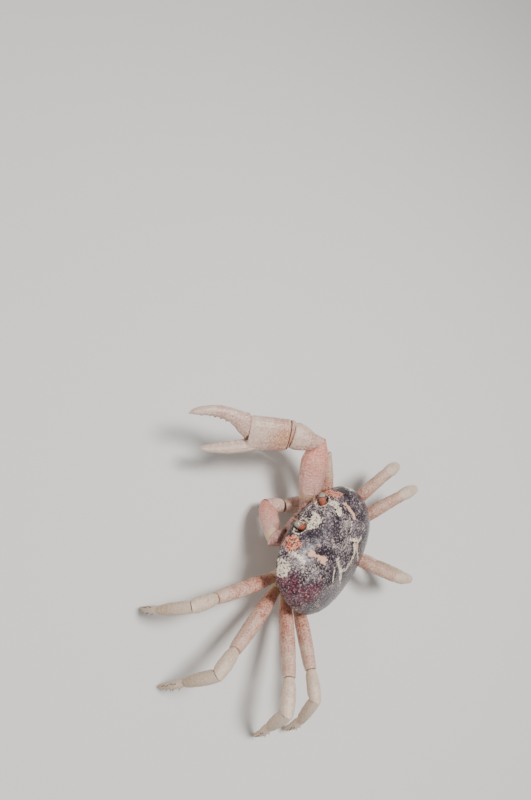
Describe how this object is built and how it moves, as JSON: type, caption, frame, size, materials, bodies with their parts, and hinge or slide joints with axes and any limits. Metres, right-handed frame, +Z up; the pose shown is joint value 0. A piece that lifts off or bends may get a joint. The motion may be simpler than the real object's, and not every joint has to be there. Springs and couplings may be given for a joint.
{
  "type": "purple land crab",
  "caption": "Life-size still model of a purple land crab standing with its right claw raised and open and its left claw tucked under the front.",
  "frame": {"origin": "on the floor under the middle of the crab's overall box", "axes": "+Z up; the crab faces -Y, and its left side is +X"},
  "size_m": [0.2024, 0.1856, 0.0635],
  "materials": {
    "shell": "glossy hard shell, dark purple grey mottled with cream and salmon",
    "underside": "dull pale buff shell",
    "leg": "satin pinkish red shell fading to buff",
    "toe": "dusty beige shell",
    "claw": "satin pale pinkish cream shell",
    "stalk": "glossy orange red",
    "eye": "glossy grey cornea"
  },
  "bodies": {
    "root": {"carapace": "shell", "thorax": "underside", "abdomen": "underside", "maxilliped_left": "underside", "antenna_left": "underside", "eyestalk_left": "stalk", "eye_left": "eye", "maxilliped_right": "underside", "antenna_right": "underside", "eyestalk_right": "stalk", "eye_right": "eye", "claw_merus_left": "leg", "claw_merus_right": "leg", "claw_carpus_left": "claw", "claw_carpus_right": "claw", "claw_palm_left": "claw", "claw_palm_right": "claw", "claw_finger_left": "claw", "claw_finger_right": "claw", "leg_1_merus_left": "leg", "leg_1_merus_right": "leg", "leg_1_carpus_left": "leg", "leg_1_carpus_right": "leg", "leg_1_propodus_left": "toe", "leg_1_propodus_right": "toe", "leg_1_dactyl_left": "toe", "leg_1_dactyl_right": "toe", "leg_2_merus_left": "leg", "leg_2_merus_right": "leg", "leg_2_carpus_left": "leg", "leg_2_carpus_right": "leg", "leg_2_propodus_left": "toe", "leg_2_propodus_right": "toe", "leg_2_dactyl_left": "toe", "leg_2_dactyl_right": "toe", "leg_3_merus_left": "leg", "leg_3_merus_right": "leg", "leg_3_carpus_left": "leg", "leg_3_carpus_right": "leg", "leg_3_propodus_left": "toe", "leg_3_propodus_right": "toe", "leg_3_dactyl_left": "toe", "leg_3_dactyl_right": "toe", "leg_4_merus_left": "leg", "leg_4_merus_right": "leg", "leg_4_carpus_left": "leg", "leg_4_carpus_right": "leg", "leg_4_propodus_left": "toe", "leg_4_propodus_right": "toe", "leg_4_dactyl_left": "toe", "leg_4_dactyl_right": "toe"}
  },
  "joints": []
}
